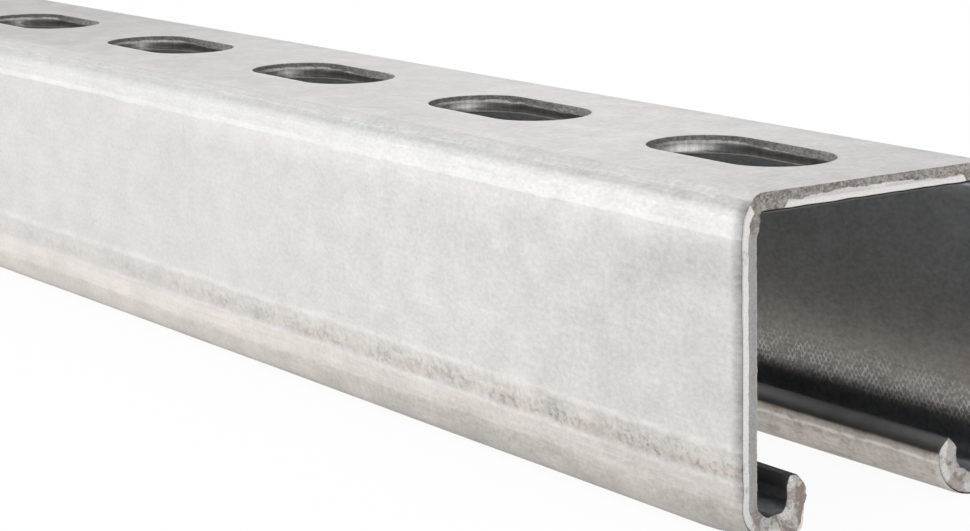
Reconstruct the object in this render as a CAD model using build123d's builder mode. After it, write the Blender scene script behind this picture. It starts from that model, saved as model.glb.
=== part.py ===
"""A slotted strut channel: one strip of sheet steel rolled into a C with inturned lips.

The length runs along X. The channel lies on the rounded backs of its two lips, at Z = 0, with
its slotted web on top and its open side down. The origin is under the middle of its length.
"""

import os
from math import floor

from build123d import *

# The strip and the section it is rolled into, in millimetres.
channel_length = 609.6
channel_width = 41.275
channel_height = 41.275
sheet_thickness = 2.667

# Bends, by the radius on their inner side.
web_bend_inner_radius = 0.9
lip_bend_inner_radius = 2.0955

# The straight edge of each lip, from the end of its bend up to its tip.
lip_straight = 2.7375
lip_tip_edge_radius = 1.1

# Slots punched along the middle of the web, counted from the cut end at +X.
slot_length = 28.575
slot_width = 14.2875
slot_pitch = 50.8
end_to_first_slot = 25.4

# Sizes that follow from those above.
web_bend_outer_radius = web_bend_inner_radius + sheet_thickness
lip_bend_outer_radius = lip_bend_inner_radius + sheet_thickness
lip_width = 2 * lip_bend_outer_radius
lip_tip_height = lip_bend_outer_radius + lip_straight
half_width = channel_width / 2
mouth_half_width = half_width - lip_width
tip_rounding = min(lip_tip_edge_radius, 0.45 * sheet_thickness, 0.9 * lip_straight)

# A slot is punched at each step of the pitch that leaves the same margin at the other end.
slotted_length = channel_length - 2 * end_to_first_slot
pitch_steps = floor(slotted_length / slot_pitch + 0.001)
slot_count = pitch_steps + 1
slot_row_centre = channel_length / 2 - end_to_first_slot - pitch_steps * slot_pitch / 2
punch_depth = 2 * sheet_thickness

with BuildPart() as strut_channel:
    # The section: the outer skin of one half, mirrored, then thickened inwards.
    with BuildSketch(Plane.YZ.offset(-channel_length / 2)) as section:
        with BuildLine() as strip:
            lip = Line(
                (mouth_half_width, lip_tip_height),
                (mouth_half_width, lip_bend_outer_radius),
            )
            lip_bend = CenterArc(
                (half_width - lip_bend_outer_radius, lip_bend_outer_radius),
                lip_bend_outer_radius,
                start_angle=180,
                arc_size=180,
            )
            wall = Line(lip_bend @ 1, (half_width, channel_height - web_bend_outer_radius))
            web_bend = CenterArc(
                (half_width - web_bend_outer_radius, channel_height - web_bend_outer_radius),
                web_bend_outer_radius,
                start_angle=0,
                arc_size=90,
            )
            half_web = Line(web_bend @ 1, (0, channel_height))
            mirror(about=Plane.YZ)
            offset(amount=sheet_thickness, side=Side.LEFT, closed=True)
        make_face()
    extrude(amount=channel_length)

    # The slots, with full round ends, straight through the web.
    with BuildSketch(Plane.XY.offset(channel_height)) as slots:
        with Locations((slot_row_centre, 0)):
            with GridLocations(slot_pitch, 0, slot_count, 1):
                SlotOverall(slot_length, slot_width)
    extrude(amount=-punch_depth, mode=Mode.SUBTRACT)

    # The strip's own edges, along the tip of each lip, are rounded to a blunt nose.
    lengthwise_edges = strut_channel.edges().filter_by(Axis.X)
    tip_edges = lengthwise_edges.filter_by(
        lambda edge: abs(edge.center().Z - lip_tip_height) < tip_rounding / 2
        and abs(edge.center().Y) < mouth_half_width + lip_width / 2
    )
    fillet(tip_edges, radius=tip_rounding)

strut_channel.part.label = "strut_channel"

os.makedirs("parts", exist_ok=True)
export_step(strut_channel.part, "parts/strut_channel.step")
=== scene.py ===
"""The looks of a slotted strut channel: its rolled and punched surfaces, its zinc and its sheared ends.

The strip is remade as one closed mesh around the frame's section, with the slots' rims, the rolled-over
and burred edges of both cut ends and the slight waviness of rolled sheet. Millimetres are used while the
mesh is made and in its materials, and metres elsewhere.
"""

from math import cos, pi, radians, sin

import bpy
from mathutils import Matrix, Vector, noise


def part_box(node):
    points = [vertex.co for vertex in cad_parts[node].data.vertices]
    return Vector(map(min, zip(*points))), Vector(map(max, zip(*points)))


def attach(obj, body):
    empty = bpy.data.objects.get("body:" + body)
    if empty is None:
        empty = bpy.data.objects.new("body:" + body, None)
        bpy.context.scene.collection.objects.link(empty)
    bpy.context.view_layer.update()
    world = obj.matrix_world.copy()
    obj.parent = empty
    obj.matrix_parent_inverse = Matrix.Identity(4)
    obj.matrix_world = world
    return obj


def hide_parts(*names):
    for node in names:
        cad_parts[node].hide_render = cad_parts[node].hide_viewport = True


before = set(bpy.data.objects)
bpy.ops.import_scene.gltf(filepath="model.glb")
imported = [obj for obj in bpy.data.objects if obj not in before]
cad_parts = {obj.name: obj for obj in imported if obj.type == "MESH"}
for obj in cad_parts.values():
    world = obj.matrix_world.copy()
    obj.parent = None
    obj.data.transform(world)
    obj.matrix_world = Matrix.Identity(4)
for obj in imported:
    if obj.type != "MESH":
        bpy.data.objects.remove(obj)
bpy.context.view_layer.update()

MM = 0.001
low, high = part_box("strut_channel")

# The section, in millimetres, as in the frame's solid.
half_length = (high.x - low.x) / 2 / MM
half_width = (high.y - low.y) / 2 / MM
height = (high.z - low.z) / MM
sheet = 2.667
web_bend = 0.9 + sheet
lip_bend = 2.0955 + sheet
lip_straight = 2.7375
tip_length = 1.7
near_tip_pinch = 0.72
far_tip_pinch = 1.2

# The slots.
slot_half_length = 28.575 / 2
slot_half_width = 14.2875 / 2
slot_pitch = 50.8
end_to_first_slot = 25.4

# How finely the mesh follows the form.
cell_columns = 20
web_rows = 20
end_zone = 2.54
fine_step = 0.5
sharp_from = radians(38)

# Points that fall on the same step of this grid are one point.
weld_steps_per_mm = 5000

# Lengths along the outer skin, from the middle of the web to the tip of a lip.
half_web = half_width - web_bend
wall_height = height - web_bend - lip_bend
lip_centre_y = half_width - lip_bend
bend_end = half_web + web_bend * pi / 2
wall_end = bend_end + wall_height
lip_bend_end = wall_end + lip_bend * pi
tip_end = lip_bend_end + lip_straight

# The crease that the rolls left along the outside of each wall.
crease_height = 11.7
crease_at = bend_end + height - web_bend - crease_height


def smooth(edge_0, edge_1, value):
    """A smooth step from 0 at edge_0 to 1 at edge_1."""
    t = min(max((value - edge_0) / (edge_1 - edge_0), 0.0), 1.0)
    return t * t * (3 - 2 * t)


def wander(*at):
    """Smooth noise between about -1 and 1."""
    return noise.noise(Vector(at))


def outer_skin(v):
    """The outer skin at v, the distance along it from the middle of the web: y, z and the normal."""
    side = 1 if v >= 0 else -1
    a = abs(v)
    if a <= half_web:
        return v, height, 0.0, 1.0
    if a <= bend_end:
        turn = (a - half_web) / web_bend
        y = half_web + web_bend * sin(turn)
        z = height - web_bend + web_bend * cos(turn)
        return side * y, z, side * sin(turn), cos(turn)
    if a <= wall_end:
        return side * half_width, height - web_bend - (a - bend_end), side, 0.0
    if a <= lip_bend_end:
        turn = (a - wall_end) / lip_bend
        y = lip_centre_y + lip_bend * cos(turn)
        return side * y, lip_bend - lip_bend * sin(turn), side * cos(turn), -sin(turn)
    return side * (lip_centre_y - lip_bend), lip_bend + a - lip_bend_end, -side, 0.0


# The relief that the rolls left. The lower outer corners are a little squarer than full rounds.
wave_height = 0.05
ripple_height = 0.02
bend_lean = 0.24
lip_lean = 0.17
crease_depth = 0.13
crease_ridge = 0.045
corner_fill = 0.45

# The shear that cut the ends moved towards +Y and +Z.
blade_y = 0.85
blade_z = 0.53
torn_at = 0.43
roll_depth = 0.40
roll_length = 1.7
burr_height = 0.07
burr_length = 0.5
lip_burr_height = 0.5
corner_burr_height = 0.2
lump_height = 1.15
lump_length = 1.6
lip_shortfall = 1.2
broken_edge = 0.28
end_lift = 0.22
end_lift_length = 12.0
clearance = 0.01


def blade_enters_outside(ny, nz):
    """1 where the blade met the outer skin first, 0 where it met the inner skin first."""
    return smooth(-0.35, 0.35, -(ny * blade_y + nz * blade_z))


def edge_relief(from_end, x, v, t, enters):
    """How far a cut end's edge stands out: rolled over where the blade entered, burred where it left."""
    a = abs(v)
    share = enters if t < 0.5 else 1 - enters
    seed = 3.1 if x > 0 else 17.7
    uneven = 1 + 0.25 * wander(v * 0.35, seed, t)
    uneven *= 1 - 0.6 * smooth(wall_end - 2, wall_end + 2, a)
    roll = roll_depth * share * uneven * max(0.0, 1 - from_end / roll_length) ** 2.2
    ragged = 0.6 + 0.6 * wander(v * 1.3, seed + 5, t)
    lip_share = smooth(wall_end + 0.35 * lip_bend * pi, wall_end + 0.65 * lip_bend * pi, a)
    rise = burr_height + lip_burr_height * lip_share * (1 - smooth(lip_bend_end + 0.8, tip_end, a))
    off_corner = smooth(bend_end + 0.8, bend_end + 1.6, a)
    on_wall = off_corner * (1 - smooth(wall_end, wall_end + 4, a))
    on_corner = smooth(half_web + 1, half_web + 3, a) * (1 - off_corner)
    rise += corner_burr_height * on_corner - broken_edge * on_wall
    burr = rise * (1 - share) * ragged * max(0.0, 1 - from_end / burr_length) ** 1.5
    turn = (a - wall_end) / lip_bend
    on_lump = smooth(1.7, 2.15, turn) * (1 - smooth(2.3, 2.85, turn)) * (1 - t)
    lump = lump_height * on_lump * (1 - share) * max(0.0, 1 - from_end / lump_length) ** 1.6
    return burr + lump - roll


def rolled_relief(x, v, t=0.0):
    """The waviness of the rolled strip, how its walls and lips lean, and the crease outside each wall."""
    a = abs(v)
    side = 1 if v >= 0 else -1
    turn = (a - wall_end) / lip_bend
    from_end = half_length - abs(x)
    wave = wave_height * wander(x / 38, v / 21, 1.5) + ripple_height * wander(x / 11, v / 9, 4.5)
    past_web = smooth(half_web, half_web + 2.6, a)
    lean = -bend_lean * (1 - smooth(bend_end - 0.9, bend_end + 1.9, a)) * past_web
    lean -= lip_lean * max(0.0, a - lip_bend_end - 0.9)
    to_bend_foot = 1 - smooth(wall_end, wall_end + lip_bend * pi / 2, a)
    crease = -crease_depth * smooth(crease_at, wall_end, a) * to_bend_foot
    from_crease = abs(a - crease_at + 0.15 * wander(x / 9, side, 2.5))
    crease += crease_ridge * (1 - smooth(0.0, 0.8, from_crease))
    fill = corner_fill * smooth(0.0, 0.85, turn) * (1 - smooth(1.05, 1.8, turn))
    fill *= smooth(1.0, 9.0, from_end)
    return wave + lean + fill + (1 - t) * crease


def place(x, v, t):
    """A point of the strip: x along it, v across it and t through it, from the outer to the inner skin."""
    y, z, ny, nz = outer_skin(v)
    depth = t * sheet
    to_tip = tip_end - abs(v)
    if to_tip < tip_length:
        pinch = (far_tip_pinch if v > 0 else near_tip_pinch) * (1 - to_tip / tip_length) ** 1.7
        depth = pinch + t * (sheet - 2 * pinch)
    enters = blade_enters_outside(ny, nz)
    from_end = half_length - abs(x)
    out = rolled_relief(x, v, t) - depth
    outer = edge_relief(from_end, x, v, 0, enters)
    inner = edge_relief(from_end, x, v, 1, enters)
    out += (1 - t) * outer - t * inner
    if x > 0 > v:
        out += end_lift * min(nz, 0.0) * max(0.0, 1 - from_end / end_lift_length) ** 1.5
    if x * v > 0:
        short = lip_shortfall * smooth(wall_end + 0.3 * lip_bend * pi, lip_bend_end, abs(v))
        x -= (1 if x > 0 else -1) * short * max(0.0, 1 - from_end / end_zone)
    return x, y + ny * out, max(z + nz * out, clearance)


def cut_recess(depth, x, v):
    """How far a sheared face lies behind its flat, by depth from where the blade entered."""
    seed = 7.3 if x > 0 else 29.1
    rolled = 0.30 * max(0.0, 1 - depth / 0.12) ** 2
    torn = 0.06 * smooth(0.40, 0.50, depth) + 0.16 * max(0.0, depth - 0.45)
    grain = 0.07 * smooth(0.42, 0.55, depth) * wander(v * 0.9, depth * 2.6, seed)
    grain += 0.05 * smooth(0.42, 0.55, depth) * wander(v * 2.7, depth * 6, seed)
    burr = 0.10 * smooth(0.92, 1.0, depth)
    return rolled + torn + grain - burr


class Strip:
    """Collects welded points and faces. A corner is (point, (x, across, depth), (inside, cut, rolled));
    rolled is a share of painted shade.
    """

    def __init__(self):
        self.points = []
        self.found = {}
        self.faces = []
        self.is_cut = []
        self.strip_at = []
        self.marks = []

    def point(self, xyz):
        key = tuple(round(c * weld_steps_per_mm) for c in xyz)
        if key not in self.found:
            self.found[key] = len(self.points)
            self.points.append(Vector(xyz))
        return self.found[key]

    def face(self, corners, cut):
        """Adds a face. A corner that repeats is dropped."""
        kept = []
        for xyz, strip_at, marks in corners:
            index = self.point(xyz)
            if index not in [k[0] for k in kept]:
                kept.append((index, strip_at, marks))
        if len(kept) < 3:
            return
        self.faces.append([k[0] for k in kept])
        for _, strip_at, marks in kept:
            self.strip_at.extend(strip_at)
            self.marks.append(marks)
        self.is_cut.append(cut)

    def grid(self, rows, cut=False, flip=False):
        for row, following in zip(rows, rows[1:]):
            for k in range(len(row) - 1):
                corners = [row[k], row[k + 1], following[k + 1], following[k]]
                self.face(corners[::-1] if flip else corners, cut)

    def stitch(self, coarse, fine, flip=False):
        """Triangles between two chains of (place along the chain, corner)."""
        i = 0
        j = 0
        while i < len(coarse) - 1 or j < len(fine) - 1:
            coarse_next = coarse[i + 1][0] if i < len(coarse) - 1 else float("inf")
            fine_next = fine[j + 1][0] if j < len(fine) - 1 else float("inf")
            if coarse_next <= fine_next:
                corners = [coarse[i][1], coarse[i + 1][1], fine[j][1]]
                i += 1
            else:
                corners = [coarse[i][1], fine[j + 1][1], fine[j][1]]
                j += 1
            self.face(corners[::-1] if flip else corners, False)

    def mesh(self, name):
        mesh = bpy.data.meshes.new(name)
        mesh.from_pydata([p * MM for p in self.points], [], self.faces)
        mesh.attributes.new("strip_mm", "FLOAT_VECTOR", "CORNER").data.foreach_set("vector", self.strip_at)
        for k, mark in enumerate(("inside", "cut_depth", "rolled")):
            values = [marks[k] for marks in self.marks]
            mesh.attributes.new(mark, "FLOAT", "CORNER").data.foreach_set("value", values)
        mesh.polygons.foreach_set("material_index", [int(cut) for cut in self.is_cut])
        mesh.shade_smooth()
        mesh.set_sharp_from_angle(angle=sharp_from)
        mesh.update()
        return mesh


def spaced(start, end, count):
    return [start + (end - start) * k / count for k in range(count + 1)]


def tip_stations(count):
    """Places round the blunt tip of a lip, closer together towards its end."""
    return [tip_end - tip_length * (1 - k / count) ** 1.3 for k in range(count + 1)]


def side_stations():
    """Places across one side of the strip, from the web's edge to the tip of the lip."""
    stations = spaced(half_web, bend_end, 8)
    stations += [bend_end + d for d in (0.6, 1.2, 1.9)]
    stations += spaced(bend_end + 4.5, crease_at - 2, 5)
    stations += [crease_at + d for d in (-0.9, -0.45, -0.15, 0.15, 0.45, 0.9)]
    stations += spaced(crease_at + 2, wall_end, 4)
    stations += spaced(wall_end, lip_bend_end, 14)[1:]
    stations += tip_stations(6)
    return stations


def web_stations():
    return spaced(-half_web, half_web, web_rows)


def skin_corner(x, v, t):
    """A corner on the skins or on the blunt tip."""
    _, _, ny, nz = outer_skin(v)
    enters = blade_enters_outside(ny, nz)
    share = enters * (1 - t) + (1 - enters) * t
    # Painted shade: how much the rolled-over edge near a cut end is darkened; on the outside it fades out
    # at the foot of the wall.
    rolled = share * max(0.0, 1 - (half_length - abs(x)) / roll_length) ** 1.2
    if t == 0:
        rolled *= 1 - 0.9 * smooth(wall_end - 2, wall_end + 1.5, abs(v))
    return place(x, v, t), (x, v, t * sheet), (float(t), 0.0, rolled)


def columns():
    """Places along the strip, cell by cell. Each cell holds one slot."""
    count = round((2 * half_length - 2 * end_to_first_slot) / slot_pitch) + 1
    cells = []
    for k in range(count):
        centre = half_length - end_to_first_slot - k * slot_pitch
        start = max(centre - slot_pitch / 2, -half_length + end_zone)
        end = min(centre + slot_pitch / 2, half_length - end_zone)
        cells.append((start, end, centre))
    return cells[::-1]


def add_sides(strip, cells):
    """Both walls and lips, inside and outside, and the blunt tips."""
    across = side_stations()
    along = []
    for start, end, _ in cells:
        along += spaced(start, end, cell_columns)[:-1]
    along.append(cells[-1][1])
    for side in (1, -1):
        for t in (0, 1):
            rows = [[skin_corner(x, side * a, t) for a in across] for x in along]
            strip.grid(rows, flip=(side > 0) == (t == 0))
        rows = [[skin_corner(x, side * tip_end, t) for t in (0, 1)] for x in along]
        strip.grid(rows, flip=side > 0)


def slot_quarter(count):
    """Points and normals along a quarter of a slot's outline, from its end to the middle of its side."""
    straight = slot_half_length - slot_half_width
    arc = slot_half_width * pi / 2
    quarter = []
    for k in range(count + 1):
        along = (arc + straight) * k / count
        if along < arc:
            nx = cos(along / slot_half_width)
            ny = sin(along / slot_half_width)
            quarter.append((straight + slot_half_width * nx, slot_half_width * ny, nx, ny))
        else:
            quarter.append((straight - (along - arc), slot_half_width, 0.0, 1.0))
    return quarter


def slot_outline(count):
    """The whole outline, anticlockwise from +X, as x, y and normal."""
    first = slot_quarter(count)
    second = [(-x, y, -nx, ny) for x, y, nx, ny in reversed(first)]
    upper = first + second[1:]
    lower = [(-x, -y, -nx, -ny) for x, y, nx, ny in upper]
    return upper + lower[1:]


def cell_border(start, end):
    """The cell's border, point for point with the slot's outline."""
    middle = web_rows // 2
    right = [(end, y) for y in web_stations()]
    top = [(x, half_web) for x in reversed(spaced(start, end, cell_columns))]
    left = [(start, y) for y in reversed(web_stations())]
    bottom = [(x, -half_web) for x in spaced(start, end, cell_columns)]
    return right[middle:] + top[1:] + left[1:] + bottom[1:] + right[1:middle + 1]


# The rim of a slot, punched from below: distance outside its outline and depth below the web's face.
torn_drop = 0.95
rim_top = [(1.6, 0.0), (0.7, 0.0), (0.27, 0.0), (0.20, -0.03)]
rim_wall = [
    (0.20, -0.03), (0.16, 0.03), (0.14, 0.15), (0.12, 0.35), (0.08, 0.60), (0.04, 0.80), (0.01, torn_drop),
    (0.0, 1.10), (0.0, 1.60), (0.04, 1.95), (0.14, 2.22), (0.34, 2.45), (0.62, 2.60), (0.95, sheet),
]
rim_bottom = [(0.95, sheet), (1.6, sheet)]
spread = [0.16, 0.38, 0.66, 1.0]


def slot_wall_marks(x, drop):
    """The marks of a slot's wall at x from the slot's middle and drop below the web's face; the last is
    how much the wall is darkened.
    """
    towards_end = x / slot_half_length
    torn_to = torn_drop * (0.55 + 0.5 * smooth(-1.0, 0.3, towards_end))
    cut = (sheet - drop) / (sheet - torn_to) * torn_at
    if drop < torn_to:
        cut = 1 - max(drop, 0) / torn_to * (1 - torn_at)
    # The upper wall is darker over the half of the slot towards -X.
    darkened = 0.65 * (1 - smooth(-0.7, 0.7, towards_end)) * (1 - smooth(0.9, 1.4, drop))
    # Painted shade on the lower wall, all round but for the end towards -X, and on the die roll at the
    # bottom edge.
    shaded = 0.55 * smooth(-0.8, -0.5, towards_end) * smooth(0.9, 1.1, drop)
    return 0.5, cut, max(darkened, shaded, 0.9 * smooth(1.9, 2.4, drop))


def add_web_cell(strip, start, end, centre):
    """One slot with the web around it, above and below."""
    outline = slot_outline((cell_columns + web_rows) // 2)
    border = cell_border(start, end)

    def rim_corner(k, offset, drop, marks):
        x, y, nx, ny = outline[k]
        torn = smooth(0.0, 0.15, drop) * (1 - smooth(torn_drop - 0.2, torn_drop + 0.15, drop))
        offset = offset + 0.05 * torn * wander((centre + x) * 0.8, y * 0.8, drop * 2)
        px = centre + x + nx * offset
        py = y + ny * offset
        return (px, py, height + rolled_relief(px, py) - drop), (px, py, drop), marks

    for t, rings in ((0, rim_top[::-1]), (1, rim_bottom)):
        rows = []
        for offset, drop in rings:
            # Painted shade: the underside next to a slot's bottom edge gets the rolled mark, which darkens
            # it, fading over 0.9 mm.
            darker_band = max(0.0, 1 - (offset - rings[0][0]) / 0.9)
            marks = (float(t), 0.0, darker_band * t)
            rows.append([rim_corner(k, offset, drop, marks) for k in range(len(outline))])
        for share in spread:
            row = []
            for (bx, by), (x, y, nx, ny) in zip(border, outline):
                px = (centre + x + nx * rim_top[0][0]) * (1 - share) + bx * share
                py = (y + ny * rim_top[0][0]) * (1 - share) + by * share
                row.append((place(px, py, t), (px, py, t * sheet), (float(t), 0.0, 0.0)))
            rows.append(row)
        strip.grid(rows, flip=t == 0)
    rows = []
    for offset, drop in rim_wall:
        marks = [slot_wall_marks(x, drop) for x, _, _, _ in outline]
        rows.append([rim_corner(k, offset, drop, marks[k]) for k in range(len(outline))])
    strip.grid(rows, cut=True)


def fine_stations():
    """Closely spaced places over the whole strip, for the cut ends."""
    parts = [0, half_web, bend_end, wall_end, lip_bend_end, tip_end - tip_length]
    half = [0.0]
    for a, b in zip(parts, parts[1:]):
        count = max(3, round((b - a) / fine_step))
        half += spaced(a, b, count)[1:]
    half += tip_stations(9)[1:]
    return [-a for a in reversed(half[1:])] + half


def coarse_stations():
    half = side_stations()
    return [-a for a in reversed(half[1:])] + web_stations() + half[1:]


# Places through the sheet, and distances from the end, over the last few millimetres.
through = [0, 0.03, 0.07, 0.12, 0.2, 0.31, 0.42, 0.5, 0.6, 0.7, 0.8, 0.88, 0.93, 0.97, 1.0]
end_columns = [2.09, 1.7, 1.35, 1.05, 0.8, 0.6, 0.42, 0.27, 0.14, 0.05]


def section_loop(x, across, steps):
    """The closed line round the section at x, each corner with its place along the loop."""
    lap = across[-1]
    loop = [(v, skin_corner(x, v, 0)) for v in across]
    loop += [(lap + t, skin_corner(x, lap, t)) for t in steps[1:]]
    loop += [(lap + 1 + (lap - v), skin_corner(x, v, 1)) for v in reversed(across[:-1])]
    loop += [(3 * lap + 1 + (1 - t), skin_corner(x, -lap, t)) for t in reversed(steps[:-1])]
    return loop


def sheared_face(sign, across):
    """The sheared face of one end, as rows of corners from the outer to the inner skin."""
    rows = []
    for v in across:
        _, _, ny, nz = outer_skin(v)
        enters = blade_enters_outside(ny, nz)
        row = []
        for t in through:
            depth = enters * t + (1 - enters) * (1 - t)
            recess = enters * cut_recess(t, sign, v) + (1 - enters) * cut_recess(1 - t, sign, v)
            x, y, z = place(sign * half_length, v, t)
            # The last mark darkens the rolled edge of the sheared face as painted shade.
            marks = (0.5, depth, max(0.0, 1 - depth / 0.1))
            row.append(((x - sign * recess, y, z), (x, v, t * sheet), marks))
        rows.append(row)
    return rows


def add_end(strip, sign):
    """The last few millimetres at one cut end, and the sheared face."""
    across = fine_stations()
    flip = sign > 0
    coarse = section_loop(sign * (half_length - end_zone), coarse_stations(), [0, 1])
    fine = section_loop(sign * (half_length - end_columns[0]), across, through)
    strip.stitch(coarse, fine, flip=flip)
    loops = []
    for distance in end_columns:
        loops.append([c for _, c in section_loop(sign * (half_length - distance), across, through)])
    face_rows = sheared_face(sign, across)
    strip.grid(face_rows, cut=True, flip=sign < 0)
    edge = [row[0][0] for row in face_rows]
    edge += [c[0] for c in face_rows[-1][1:]]
    edge += [row[-1][0] for row in reversed(face_rows[:-1])]
    edge += [c[0] for c in reversed(face_rows[0][:-1])]
    rim = section_loop(sign * half_length, across, through)
    loops.append([(xyz, strip_at, marks) for xyz, (_, (_, strip_at, marks)) in zip(edge, rim)])
    strip.grid(loops, flip=flip)


def build_strip():
    strip = Strip()
    cells = columns()
    add_sides(strip, cells)
    for start, end, centre in cells:
        add_web_cell(strip, start, end, centre)
    for sign in (1, -1):
        add_end(strip, sign)
    piece = bpy.data.objects.new("channel_strip", strip.mesh("channel_strip"))
    bpy.context.scene.collection.objects.link(piece)
    return piece


piece = build_strip()
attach(piece, "root")
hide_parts("strut_channel")


class Graph:
    """Short ways to write the nodes of a material or of the world. A value is a number or an output."""

    def __init__(self, owner):
        owner.use_nodes = True
        self.owner = owner
        self.tree = owner.node_tree

    def node(self, kind, **settings):
        made = self.tree.nodes.new("ShaderNode" + kind)
        for key, value in settings.items():
            setattr(made, key, value)
        return made

    def feed(self, socket, value):
        if isinstance(value, bpy.types.NodeSocket):
            self.tree.links.new(value, socket)
        else:
            socket.default_value = value

    def fed(self, node, *values):
        """The node's first output, once its inputs hold the values."""
        for socket, value in zip(node.inputs, values):
            self.feed(socket, value)
        return node.outputs[0]

    def math(self, operation, *values):
        return self.fed(self.node("Math", operation=operation), *values)

    def plus(self, *values):
        total = values[0]
        for value in values[1:]:
            total = self.math("ADD", total, value)
        return total

    def times(self, *values):
        total = values[0]
        for value in values[1:]:
            total = self.math("MULTIPLY", total, value)
        return total

    def parts(self, vector):
        """The three parts of a vector."""
        made = self.node("SeparateXYZ")
        self.feed(made.inputs[0], vector)
        return made.outputs

    def ramp(self, value, start, end, low, high):
        """Follows the value evenly from low at start to high at end."""
        return self.fed(self.node("MapRange"), value, start, end, low, high)

    def step(self, value, start, end, low=0.0, high=1.0):
        """A smooth step of the value."""
        made = self.node("MapRange", interpolation_type="SMOOTHSTEP")
        return self.fed(made, value, start, end, low, high)

    def band(self, value, start, end, soft):
        """1 between start and end, fading to 0 over soft on both sides."""
        rise = self.step(value, start - soft, start + soft)
        fall = self.step(value, end - soft, end + soft, 1.0, 0.0)
        return self.times(rise, fall)

    def blend(self, share, colour_0, colour_1):
        made = self.node("Mix", data_type="RGBA")
        self.feed(made.inputs[0], share)
        for socket, colour in zip((made.inputs[6], made.inputs[7]), (colour_0, colour_1)):
            self.feed(socket, (*colour, 1) if isinstance(colour, tuple) else colour)
        return made.outputs[2]

    def shade(self, colour, factor):
        made = self.node("VectorMath", operation="SCALE")
        self.feed(made.inputs[0], colour)
        self.feed(made.inputs["Scale"], factor)
        return made.outputs[0]


class StripGraph(Graph):
    """The nodes of one of the strip's metals, with the places and marks that its mesh carries."""

    def __init__(self, name):
        super().__init__(bpy.data.materials.new(name))
        self.at = self.attribute("strip_mm", "Vector")
        self.x, self.v, _ = self.parts(self.at)
        self.a = self.math("ABSOLUTE", self.v)
        self.from_middle = self.math("ABSOLUTE", self.x)
        self.rolled = self.attribute("rolled", "Fac")

    def attribute(self, name, output):
        return self.node("Attribute", attribute_name=name).outputs[output]

    def noise(self, sizes, detail=2.0, roughness=0.5, at=None):
        """Noise of 0 to 1 about 0.5, its lumps as large as sizes, in millimetres."""
        scaled = self.node("VectorMath", operation="MULTIPLY")
        self.feed(scaled.inputs[0], self.at if at is None else at)
        self.feed(scaled.inputs[1], [1 / size for size in sizes])
        made = self.node("TexNoise")
        self.feed(made.inputs["Vector"], scaled.outputs[0])
        self.feed(made.inputs["Scale"], 1)
        self.feed(made.inputs["Detail"], detail)
        self.feed(made.inputs["Roughness"], roughness)
        return made.outputs[0]

    def swing(self, sizes, detail=2.0, roughness=0.5):
        """Noise of -0.5 to 0.5."""
        return self.math("SUBTRACT", self.noise(sizes, detail, roughness), 0.5)

    def leaning(self, slope):
        """The place on the strip, with the lines across it leaning by slope."""
        return self.fed(self.node("CombineXYZ"), self.plus(self.x, self.times(self.v, slope)), self.v)

    def bump(self, height, distance):
        made = self.node("Bump")
        self.feed(made.inputs["Height"], height)
        self.feed(made.inputs["Distance"], distance)
        return made.outputs[0]

    def metal(self, colour, roughness, normal):
        shader = self.tree.nodes["Principled BSDF"]
        self.feed(shader.inputs["Base Color"], colour)
        self.feed(shader.inputs["Roughness"], roughness)
        self.feed(shader.inputs["Normal"], normal)
        self.feed(shader.inputs["Metallic"], 1.0)
        return self.owner


# The zinc's colours.
cool_zinc = (0.782, 0.760, 0.744)
warm_zinc = (0.797, 0.767, 0.745)
drawn_zinc = (0.79, 0.745, 0.705)
rusty_zinc = (0.755, 0.69, 0.65)
creamy_zinc = (0.84, 0.785, 0.735)
# The lip's browner zinc, also darker as painted shade on the lower bend that turns to the floor.
shaded_lip_zinc = (0.655, 0.62, 0.58)
# Painted shade: the inside is the same zinc painted darker, cooler high up and warmer low down.
cool_shaded_inner_zinc = (0.588, 0.602, 0.625)
warm_shaded_inner_zinc = (0.615, 0.60, 0.572)
mouth_zinc = (0.81, 0.755, 0.695)
mouth_stain = (0.56, 0.485, 0.43)
# Painted highlight: near-white zinc for the web's bend, where it mirrors the bright studio.
highlight_zinc = (0.80, 0.80, 0.795)
# Partly the bare steel of the slit edge at a lip's tip, partly painted shade on the lip's face beside it,
# which faces the mouth.
slit_edge_and_shade = (0.215, 0.21, 0.205)

# The colours of sheared steel.
bare_steel = (0.78, 0.762, 0.74)
torn_brown = (0.29, 0.262, 0.243)
torn_pale_brown = (0.51, 0.482, 0.455)
torn_spot = (0.15, 0.13, 0.115)
torn_grey = (0.36, 0.35, 0.34)
torn_pale_grey = (0.58, 0.57, 0.555)
lip_steel = (0.66, 0.645, 0.625)
lip_stain = (0.38, 0.325, 0.29)

# Where marks of the zinc begin and end on the outside, in millimetres: the bend's are counted from the
# edge of the web's flat, and the stippled strip's from the crease.
bend_foot = 7.3
# Where the painted highlight at the bend's foot ends.
highlight_foot = 7.15
stipple_from = 0.7
stipple_low_from = 2.4
stipple_to = 3.9

# The crossed hatching that the rolls left low on the inside.
hatch_slope = 0.70
hatch_lines = 7.4
hatch_shake = 3.6

# How far the fine relief stands out, in metres.
zinc_relief = 0.00002
torn_relief = 0.0002


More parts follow.
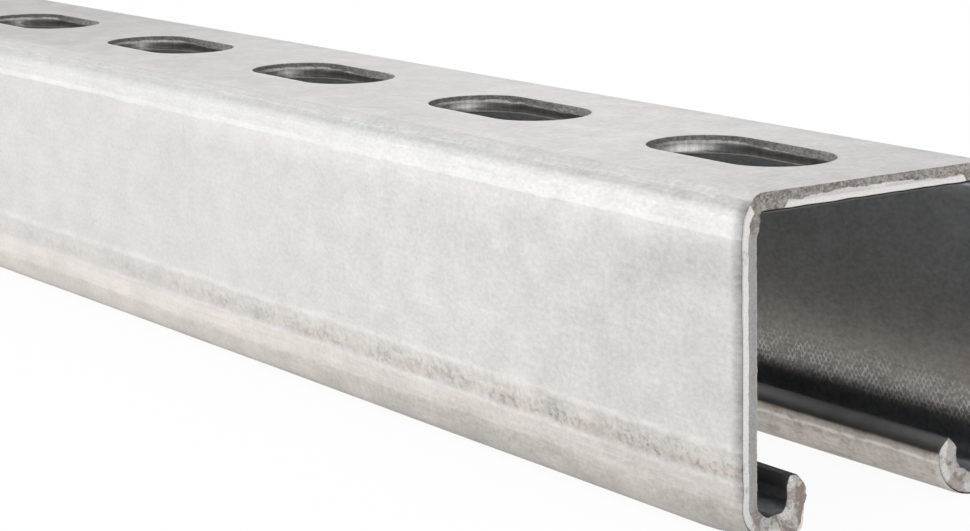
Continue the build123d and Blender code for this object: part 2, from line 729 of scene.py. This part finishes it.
class ZincGraph(StripGraph):
    """The zinc skin's nodes, with the noises and the regions that several of its marks share."""

    def __init__(self):
        super().__init__("zinc_skin")
        self.inside = self.attribute("inside", "Fac")
        self.outside = self.math("SUBTRACT", 1.0, self.inside)

        self.blotch = self.swing((6, 5, 3), 4, 0.65)
        self.patch = self.swing((16, 9, 9), 3, 0.6)
        self.fleck = self.swing((0.9, 0.6, 1), 3, 0.6)
        self.streak = self.swing((38, 0.7, 1), 3, 0.6)
        self.scrape = self.swing((5, 0.5, 1), 4, 0.7)
        self.wobble = self.swing((9, 60, 9), 4, 0.6)

        # Along the strip.
        self.towards_far = self.step(self.x, 260.0, 150.0)
        self.near_end = self.step(self.from_middle, 262.0, 300.0)
        self.near_half = self.times(self.step(self.from_middle, 170.0, 250.0), self.outside)
        faint = self.step(self.x, 110.0, 270.0, 0.35, 1.0)

        # The web and its bend.
        self.on_web = self.step(self.a, half_web - 1.0, half_web + 1.0, 1.0, 0.0)
        self.bend_at = self.plus(self.a, -half_web, self.times(self.wobble, 0.7))
        self.on_bend = self.times(self.band(self.bend_at, 0.0, bend_foot, 0.5), self.outside)

        # The stippled strip below the crease, and the drawn sheet below that.
        jag = self.swing((1.6, 40, 3), 3, 0.6)
        self.below = self.plus(self.a, self.times(self.wobble, -1.2), self.times(jag, -0.7), -crease_at)
        self.gaps = self.step(self.noise((8, 3, 2), 2), 0.34, 0.56, 0.35, 1.0)
        stippled = self.band(self.below, stipple_from, stipple_to, 0.5)
        self.stippled = self.times(stippled, self.outside, faint)
        stippled_low = self.band(self.below, stipple_low_from, stipple_to, 0.4)
        self.stippled_low = self.times(stippled_low, self.outside, faint)
        marks = self.step(self.noise((1.2, 1.15, 1), 4, 0.72, self.leaning(0.35)), 0.47, 0.60)
        deepening = self.step(self.below, 0.8, 2.4, 0.4, 1.0)
        self.stipple = self.times(self.stippled, marks, self.gaps, deepening)
        self.drawn = self.times(self.band(self.below, 4.6, 16, 0.5), self.outside)

        # The lip and the mouth.
        lip_from = self.plus(self.a, self.times(self.wobble, -3.0), self.times(self.towards_far, -0.6))
        lip = self.plus(
            self.step(lip_from, wall_end - 1.2, wall_end + 1.0, 0.0, 0.45),
            self.step(lip_from, wall_end - 0.1, wall_end + 0.5, 0.0, 0.55),
        )
        self.lip = self.times(lip, self.outside)
        self.mouth_side = self.times(self.step(self.a, wall_end + 7, wall_end + 10), self.outside)
        # The slit edge at a lip's tip, with painted shade on the lip's straight part next to it.
        slit_at = self.plus(self.a, self.times(self.wobble, 0.5))
        self.slit_and_shade = self.step(slit_at, lip_bend_end + 0.75, lip_bend_end + 1.15)


def mottle(g):
    """The zinc's own cloudiness, and the fine lines that rolling drew along it."""
    blotched = g.plus(0.24, g.times(g.on_web, 0.14), g.times(g.lip, 0.3), g.times(g.near_half, 0.14))
    patched = g.plus(0.12, g.times(g.drawn, 0.3))
    flecked = g.plus(0.28, g.times(g.lip, 0.14), g.times(g.inside, 0.55), g.times(g.near_half, 0.15))
    streaked = g.plus(0.08, g.times(g.drawn, 0.16), g.times(g.drawn, g.towards_far, -0.12))
    return [
        g.times(g.blotch, blotched),
        g.times(g.patch, patched),
        g.times(g.fleck, flecked),
        g.times(g.streak, streaked),
        g.times(g.scrape, g.times(g.on_bend, 0.22)),
    ]


def crease_marks(g):
    """A painted highlight along the crease, the stippled strip below it, and finer lines below that."""
    # Painted highlight along the crease, patchy with the blotches.
    crease_highlight = g.times(
        g.band(g.below, -0.1, 0.7, 0.35), g.outside, g.step(g.blotch, -0.25, 0.1, 0.5, 1.0)
    )
    second_line = g.times(g.band(g.below, 4.3, 4.6, 0.3), g.outside, g.gaps)
    fine_lines = g.times(
        g.step(g.noise((40, 0.36, 1), 3, 0.6), 0.54, 0.63),
        g.band(g.below, 4.9, 8.5, 0.5),
        g.outside,
        g.step(g.patch, -0.15, 0.1, 0.3, 1.0),
    )
    specks = g.times(g.step(g.noise((1.3, 0.7, 1), 3, 0.7), 0.655, 0.71), g.outside)
    return [
        g.times(crease_highlight, 0.12),
        g.times(second_line, 0.14),
        g.times(g.stipple, -0.25),
        g.times(g.stippled, g.plus(g.times(g.patch, 0.25), g.times(g.blotch, 0.25))),
        g.times(fine_lines, -0.08),
        g.times(specks, -0.06),
        g.times(g.stippled, -0.02),
        g.times(g.stippled_low, -0.065),
    ]


def lip_marks(g):
    """Painted light: the wall above the lip and the lip itself are lighter further from the end that
    shows.
    """
    on_wall = g.math("SUBTRACT", g.outside, g.lip)
    above_lip = g.times(g.band(g.below, 4.8, wall_height, 0.4), on_wall, g.towards_far)
    return [g.times(above_lip, 0.10), g.times(g.lip, g.towards_far, 0.16)]


def smudge(g):
    """A grey smudge on the wall, just below the bend at the cut end."""
    along = g.times(g.step(g.plus(g.x, g.times(g.patch, 20.0)), 270.0, 295.0), g.outside)
    sag = g.step(g.x, 286.0, 299.0, 0.0, 2.4)
    across = g.plus(g.a, g.times(g.patch, 5.0), sag, -bend_end)
    return g.times(along, g.band(across, 3.8, 9.6, 1.6))


def bend_marks(g):
    """The outside of the web's bend: darker and pitted over its upper part, with a painted highlight line,
    a painted dark reflection line, painted highlights towards its foot and on the wall just below.
    """
    bend_at = g.bend_at
    # Painted reflection: a dark line across the bend, where it mirrors a dimmer part of the studio; darker
    # near the cut ends and fainter towards -X.
    dark_from = g.plus(2.95, g.times(g.near_end, -0.9))
    dark_reflection_line = g.times(
        g.step(g.math("SUBTRACT", bend_at, dark_from), -0.22, 0.22),
        g.step(bend_at, 3.2, 4.4, 1.0, 0.0),
    )
    darkness = g.plus(0.05, g.times(g.near_end, 0.05), g.times(g.towards_far, -0.045))
    scraped = g.step(g.scrape, -0.02, 0.08)
    # Painted highlight: a thin lighter line across the upper bend, patchy with the scrape noise.
    bend_highlight_line = g.times(g.band(bend_at, 2.1, 2.7, 0.3), g.outside, scraped, 0.10)
    # A darker band over the upper part of the bend, less dark near the cut ends.
    darker_band = g.times(g.step(bend_at, 0.0, 0.8), g.step(bend_at, 3.0, 5.2, 1.0, 0.0), g.outside)
    # Painted highlights: lighter bands down to the bend's foot, the lowest patchy along the strip, and a
    # rise in brightness towards the foot.
    highlight_top = g.times(g.band(bend_at, 3.7, highlight_foot, 0.15), g.outside)
    highlight_low = g.times(g.band(bend_at, 4.6, highlight_foot, 0.18), g.outside)
    highlight_rim = g.times(g.band(bend_at, 6.35, highlight_foot, 0.15), g.outside)
    rim_share = g.step(g.noise((34, 300, 9), 2), 0.38, 0.60, 0.35, 1.0)
    highlight_rise = g.times(
        g.step(bend_at, 4.2, 6.8), g.step(bend_at, 7.0, bend_foot, 1.0, 0.0), g.outside
    )
    highlight_rise_share = g.plus(1.0, g.times(g.towards_far, -0.6), g.times(g.near_end, -0.6))
    # Painted highlight on the wall just below the bend, for x above about 130 to 200 mm.
    wall_highlight = g.times(
        g.step(bend_at, 7.0, 7.4),
        g.step(bend_at, 7.6, 11.5, 1.0, 0.0),
        g.outside,
        g.step(g.x, 130.0, 200.0),
    )
    pitted = g.step(g.noise((1.6, 0.6, 1), 3, 0.7), 0.655, 0.70)
    pits = g.times(g.band(bend_at, 0.5, 6.3, 0.5), g.outside, pitted)
    return [
        g.times(g.times(dark_reflection_line, g.outside, darkness), -1.0),
        bend_highlight_line,
        g.times(darker_band, g.plus(-0.145, g.times(g.near_end, 0.06))),
        g.times(highlight_top, 0.015),
        g.times(highlight_low, g.plus(0.035, g.times(g.near_half, 0.045))),
        g.times(highlight_rim, rim_share, g.plus(0.11, g.times(g.near_half, -0.05))),
        g.times(g.times(highlight_rise, highlight_rise_share), 0.085),
        g.times(wall_highlight, g.step(g.x, 262.0, 225.0, 0.065, 0.11)),
        g.times(smudge(g), -0.11),
        g.times(pits, -0.16),
    ]


def end_and_web_marks(g):
    """Painted shade on the rolled-over edges, the web's grain and nicks, painted light inside under the
    web, and painted shade near the ends and on the far part of the web.
    """
    nick = g.swing((0.45, 3.5, 1), 3, 0.65)
    web_grain = g.swing((1.1, 2.6, 1), 3, 0.7)
    # The web: a little lighter over the middle, darker near the ends as painted shade, and nicked near the
    # ends.
    web_share = g.plus(0.045, g.times(g.near_end, -0.09), g.times(g.near_end, g.outside, nick, 0.30))
    # Painted light: the inside lighter under the web, fading down the inner walls.
    under_web = g.times(g.step(g.a, bend_end, bend_end + 14, 1.0, 0.0), g.inside)
    # Painted shade: the outside darker near both ends, most on the walls.
    end_shade = g.times(
        g.step(g.from_middle, 235.0, 300.0), g.step(g.a, bend_end + 1, bend_end + 12, 0.3, 1.0)
    )
    # Painted shade: the web darker towards the far end.
    far_web_shade = g.times(g.step(g.x, 135.0, 75.0), g.on_web)
    # Painted shade on rolled edges and slot rims comes through the rolled mark.
    return [
        g.times(g.rolled, g.plus(-0.46, g.times(g.inside, 0.16))),
        g.times(g.on_web, web_share),
        g.times(g.on_web, g.outside, web_grain, 0.26),
        g.times(under_web, 0.24),
        g.times(end_shade, g.outside, -0.08),
        g.times(far_web_shade, -0.15),
    ]


def mouth_marks(g):
    """Streaks on the lips' sides in the mouth, and a painted highlight line where their bend ends."""
    line_at = g.plus(g.a, g.wobble)
    # Painted highlight: a thin lighter line where the lip's bend ends.
    mouth_highlight_line = g.times(g.band(line_at, lip_bend_end - 0.35, lip_bend_end + 0.05, 0.15), g.outside)
    return [
        g.times(g.mouth_side, g.times(g.streak, 0.3)),
        g.times(mouth_highlight_line, g.step(g.blotch, -0.25, 0.05), 0.42),
    ]


def inner_hatching(g):
    """The hatching low on the inside: its lines, and where on the strip it is, stronger lower down as
    painted light from below.
    """
    rise = g.times(g.v, hatch_slope)
    shake = g.times(g.swing((1.8, 1.8, 3), 2), hatch_shake)
    lines = []
    for place_on_line in (g.plus(g.x, rise), g.math("SUBTRACT", g.x, rise)):
        wave = g.math("SINE", g.plus(g.times(place_on_line, hatch_lines), shake))
        lines.append(g.step(wave, 0.3, 0.85))
    hatch = g.times(g.math("MAXIMUM", *lines), g.step(g.fleck, -0.16, 0.12))
    above = g.step(g.a, crease_at - 3.6, crease_at + 2.0)
    hatched = g.times(above, g.inside, g.step(g.blotch, -0.2, 0.1, 0.35, 1.0))
    return hatch, g.times(hatched, g.step(g.a, crease_at + 2.6, crease_at + 4.2, 1.0, 0.0))


def inner_shade(g):
    """Painted shade: the inside darker below the hatching and in the lip."""
    below_hatch = g.step(g.plus(g.a, g.times(g.wobble, 1.5)), crease_at + 3.0, crease_at + 3.9)
    in_lip = g.step(g.a, wall_end - 1.0, wall_end + 3.0)
    below_hatch = g.times(below_hatch, g.inside)
    in_lip = g.times(in_lip, g.inside)
    return g.plus(1.0, g.times(below_hatch, -0.06), g.times(in_lip, -0.26))


def zinc_colour(g):
    """The zinc's colour, with painted highlight on the bend and painted shade on the lips and inside,
    before its marks darken or lighten it.
    """
    cloud = g.noise((46, 30, 9), 2)
    colour = g.blend(g.step(cloud, 0.35, 0.65), cool_zinc, warm_zinc)
    # Painted highlight: the bend, from about 1 mm past the web's edge to just past its foot, is painted
    # most of the way to near-white zinc.
    highlit_bend = g.blend(g.step(g.bend_at, 7.1, 7.5), highlight_zinc, colour)
    colour = g.blend(g.step(g.bend_at, 0.4, 1.6, 0.0, 0.8), colour, highlit_bend)
    stain = g.plus(g.times(g.stippled, 0.5), g.times(g.stippled_low, 0.4), g.times(g.drawn, 0.75))
    colour = g.blend(stain, colour, drawn_zinc)
    rusty = g.times(g.stippled_low, g.step(g.patch, -0.12, 0.12), 0.75)
    colour = g.blend(rusty, colour, rusty_zinc)
    off_lip = g.math("SUBTRACT", 1.0, g.lip)
    creamy = g.times(g.drawn, off_lip, g.step(g.noise((20, 3.5, 9), 3, 0.6), 0.50, 0.62))
    colour = g.blend(g.times(creamy, 0.8), colour, creamy_zinc)
    # The lips: browner zinc with painted shade.
    colour = g.blend(g.lip, colour, shaded_lip_zinc)
    darkened = g.step(g.noise((3.2, 1.5, 1.5), 4, 0.7), 0.50, 0.66)
    mouth_colour = g.blend(g.times(darkened, 0.75), mouth_zinc, mouth_stain)
    colour = g.blend(g.mouth_side, colour, mouth_colour)
    # Painted shade: the inside takes the darker inner zinc, warmer low down.
    low_inside = g.band(g.a, crease_at - 9, wall_end - 4, 4)
    return g.blend(g.inside, colour, g.blend(low_inside, cool_shaded_inner_zinc, warm_shaded_inner_zinc))


def zinc_skin():
    """Rolled, zinc-coated sheet: mottled, stippled below the crease and hatched low on the inside, with
    painted highlights and painted shade.
    """
    g = ZincGraph()
    outer = [*mottle(g), *crease_marks(g), *lip_marks(g), *bend_marks(g)]
    tone = g.plus(1.0, *outer, *end_and_web_marks(g), *mouth_marks(g))
    hatch, hatched = inner_hatching(g)
    # Painted light on the hatching: its lines lighter and the ground between them darker, most just above
    # the darker band.
    tone = g.plus(tone, g.times(hatch, hatched, 1.05), g.times(hatched, -0.24))
    tone = g.times(tone, inner_shade(g))
    # The slit edge and the painted shade beside it take the dark colour.
    slit_tone = g.plus(1.0, g.times(g.blotch, 0.8))
    colour = g.blend(g.slit_and_shade, g.shade(zinc_colour(g), tone), g.shade(slit_edge_and_shade, slit_tone))
    rough = g.plus(
        0.31,
        g.times(g.blotch, 0.12),
        g.times(g.on_bend, 0.03),
        g.times(g.stipple, 0.1),
        g.times(g.slit_and_shade, 0.1),
    )
    relief = g.plus(
        g.times(g.fleck, 0.8),
        g.times(g.stipple, -1.2),
        g.times(hatch, hatched, 0.4),
        g.times(g.scrape, g.on_bend, 1.5),
    )
    return g.metal(colour, rough, g.bump(relief, zinc_relief))


def sheared_steel():
    """A sheared edge: a bright burnished band where the blade went in, and torn steel beyond it."""
    g = StripGraph("sheared_steel")
    depth = g.attribute("cut_depth", "Fac")
    from_tip = g.math("SUBTRACT", half_length, g.from_middle)
    in_slot = g.step(from_tip, 3.0, 6.0)
    ragged = g.swing((2.6, 1.6, 2.6), 4, 0.65)
    grit = g.swing((0.30, 0.30, 0.30), 3, 0.7)
    patch = g.noise((0.7, 0.7, 0.6), 3, 0.75)
    stain = g.noise((2.2, 2.2, 2.0), 3, 0.6)

    # Where on the cut end a place is.
    on_wall = g.band(g.a, bend_end - 1.0, wall_end + 1.0, 1.0)
    on_lip = g.step(g.a, wall_end + 1.0, wall_end + 4.0)
    on_corner = g.band(g.a, half_web - 3.3, half_web + 2.5, 0.5)
    inner_corner = g.times(g.band(g.a, half_web + 2.5, bend_end + 1.1, 0.2), g.step(depth, 0.36, 0.42))
    near_lip = g.step(g.v, 5.0, -5.0)

    # How deep the clean cut goes before the steel tears.
    clean = g.times(g.band(g.v, -10.0, 5.5, 1.5), g.step(from_tip, 3.0, 1.0), 0.15)
    raggedness = g.plus(0.34, g.times(on_wall, -0.12))
    limit = g.plus(torn_at, clean, g.times(on_corner, -0.4), g.times(ragged, raggedness))
    torn = g.step(g.math("SUBTRACT", depth, limit), -0.03, 0.03)

    # The torn steel, brown at the web and grey on the walls.
    spot = g.step(g.noise((0.5, 0.5, 0.45), 2, 0.6), 0.56, 0.66)
    brown = g.blend(g.step(patch, 0.36, 0.64), torn_brown, torn_pale_brown)
    brown = g.blend(g.times(spot, 0.7), brown, torn_spot)
    grey = g.blend(patch, torn_grey, torn_pale_grey)
    greyness = g.plus(on_wall, g.times(inner_corner, -1.0), g.times(in_slot, 0.25))
    torn_colour = g.blend(g.math("MAXIMUM", greyness, 0.0), brown, grey)
    torn_grit = g.times(grit, g.plus(0.9, g.times(in_slot, 0.9)))
    torn_colour = g.shade(torn_colour, g.plus(1.0, torn_grit, g.times(in_slot, 0.02)))

    # The burnished steel, and the stained ends of the lips.
    wear = g.times(g.step(stain, 0.56, 0.66), on_wall, -0.22)
    drag = g.times(g.swing((0.5, 0.5, 5.0), 3, 0.65), in_slot, 0.9)
    burnish = g.plus(1.0, g.times(grit, 0.5), g.times(in_slot, -0.10), drag, wear)
    colour = g.blend(torn, g.shade(bare_steel, burnish), torn_colour)
    darkened = g.step(g.plus(stain, g.times(near_lip, 0.06)), 0.50, 0.61)
    lip_colour = g.blend(darkened, lip_steel, lip_stain)
    lip_grit = g.times(grit, g.plus(0.9, g.times(near_lip, 0.7)))
    colour = g.blend(g.times(on_lip, 0.85), colour, g.shade(lip_colour, g.plus(1.0, lip_grit)))
    # Painted shade on rolled edges and on the darkened parts of slot walls.
    colour = g.shade(colour, g.plus(1.0, g.times(g.rolled, -0.65)))
    rough = g.plus(0.26, g.times(torn, 0.25))
    return g.metal(colour, rough, g.bump(g.times(grit, torn), torn_relief))


piece.data.materials.append(zinc_skin())
piece.data.materials.append(sheared_steel())


# The studio: a pale floor, a pale sky for the metal to mirror, and two soft lamps.
floor_reach = 4.0
floor_colour = (0.88, 0.88, 0.88, 1)
sky_colour = (0.98, 0.98, 0.98, 1)
plain_white = (1, 1, 1, 1)

# Three fades of the sky: towards +Y, towards the horizon, and round a darker patch that a wall mirrors.
side_fade = (0.3, 0.75, 1.0, 0.75)
horizon_fade = (0.04, 0.16, 0.78, 1.0)
patch_direction = (-0.9259, 0.3741, 0.0523)
patch_fade = (0.972, 0.998, 1.0, 0.5)

# The camera, fitted to the slots and the long edges.
camera_place = (0.54320, -0.21303, 0.09478)
camera_azimuth = radians(146.463)
camera_down = radians(11.278)
camera_roll = radians(1.225)
lens_length = 102.461
sensor_width = 36


def white_share(g, camera_share, mirror_share):
    """How much of the plain white a ray sees, by the kind of the ray."""
    path = g.node("LightPath")
    seen = g.math("MULTIPLY", path.outputs["Is Camera Ray"], camera_share)
    mirrored = g.math("MAXIMUM", path.outputs["Is Glossy Ray"], path.outputs["Is Transmission Ray"])
    return g.math("MULTIPLY_ADD", mirrored, mirror_share, seen)


def surface(g, output, share, own, white):
    """Ends the nodes in a mix of the own look and the plain white."""
    g.feed(g.node(output).inputs["Surface"], g.fed(g.node("MixShader"), share, own, white))


def make_floor():
    mesh = bpy.data.meshes.new("floor")
    r = floor_reach
    mesh.from_pydata([(-r, -r, 0), (r, -r, 0), (r, r, 0), (-r, r, 0)], [], [(0, 1, 2, 3)])
    floor = bpy.data.objects.new("floor", mesh)
    bpy.context.scene.collection.objects.link(floor)
    material = bpy.data.materials.new("pale_floor")
    g = Graph(material)
    g.tree.nodes.clear()
    matt = g.fed(g.node("BsdfDiffuse"), floor_colour)
    white = g.node("Emission").outputs[0]
    share = white_share(g, camera_share=0.94, mirror_share=0.3)
    surface(g, "OutputMaterial", share, matt, white)
    mesh.materials.append(material)


def make_world():
    world = bpy.data.worlds.new("studio")
    bpy.context.scene.world = world
    g = Graph(world)
    g.tree.nodes.clear()
    direction = g.node("TexCoord").outputs["Generated"]
    _, towards_side, upwards = g.parts(direction)
    towards_patch = g.node("VectorMath", operation="DOT_PRODUCT")
    g.fed(towards_patch, direction, patch_direction)
    strength = g.times(
        g.ramp(towards_side, *side_fade),
        g.ramp(upwards, *horizon_fade),
        g.ramp(towards_patch.outputs["Value"], *patch_fade),
    )
    sky = g.fed(g.node("Background"), sky_colour, strength)
    white = g.fed(g.node("Background"), plain_white)
    share = white_share(g, camera_share=1.0, mirror_share=0.0)
    surface(g, "OutputWorld", share, sky, white)


def soft_lamp(name, at, towards, size, radiance, mirrored=True):
    """A square lamp that lights the metal evenly and isn't itself seen."""
    data = bpy.data.lights.new(name, "AREA")
    data.shape = "SQUARE"
    data.size = size
    data.energy = radiance * pi * size * size
    lamp = bpy.data.objects.new(name, data)
    lamp.location = at
    lamp.rotation_euler = (Vector(towards) - Vector(at)).to_track_quat("-Z", "Y").to_euler()
    lamp.visible_camera = False
    lamp.visible_glossy = mirrored
    bpy.context.scene.collection.objects.link(lamp)


def make_camera():
    data = bpy.data.cameras.new("camera")
    data.sensor_width = sensor_width
    data.lens = lens_length
    camera = bpy.data.objects.new("camera", data)
    level = cos(camera_down)
    forward = Vector((cos(camera_azimuth) * level, sin(camera_azimuth) * level, -sin(camera_down)))
    unrolled = forward.cross(Vector((0, 0, 1))).normalized()
    right = Matrix.Rotation(camera_roll, 3, forward) @ unrolled
    up = right.cross(forward)
    turn = Matrix((right, up, -forward)).transposed()
    camera.matrix_world = Matrix.Translation(camera_place) @ turn.to_4x4()
    bpy.context.scene.collection.objects.link(camera)
    bpy.context.scene.camera = camera


make_floor()
make_world()
soft_lamp("left_softbox", at=(-1.30, -1.25, 0.42), towards=(0.1, 0, 0), size=1.20, radiance=0.20)
soft_lamp(
    "overhead_softbox", at=(0, 0, 2.4), towards=(0, 0, 0), size=2.40, radiance=0.64, mirrored=False
)
make_camera()
bpy.context.scene.view_settings.view_transform = "Standard"
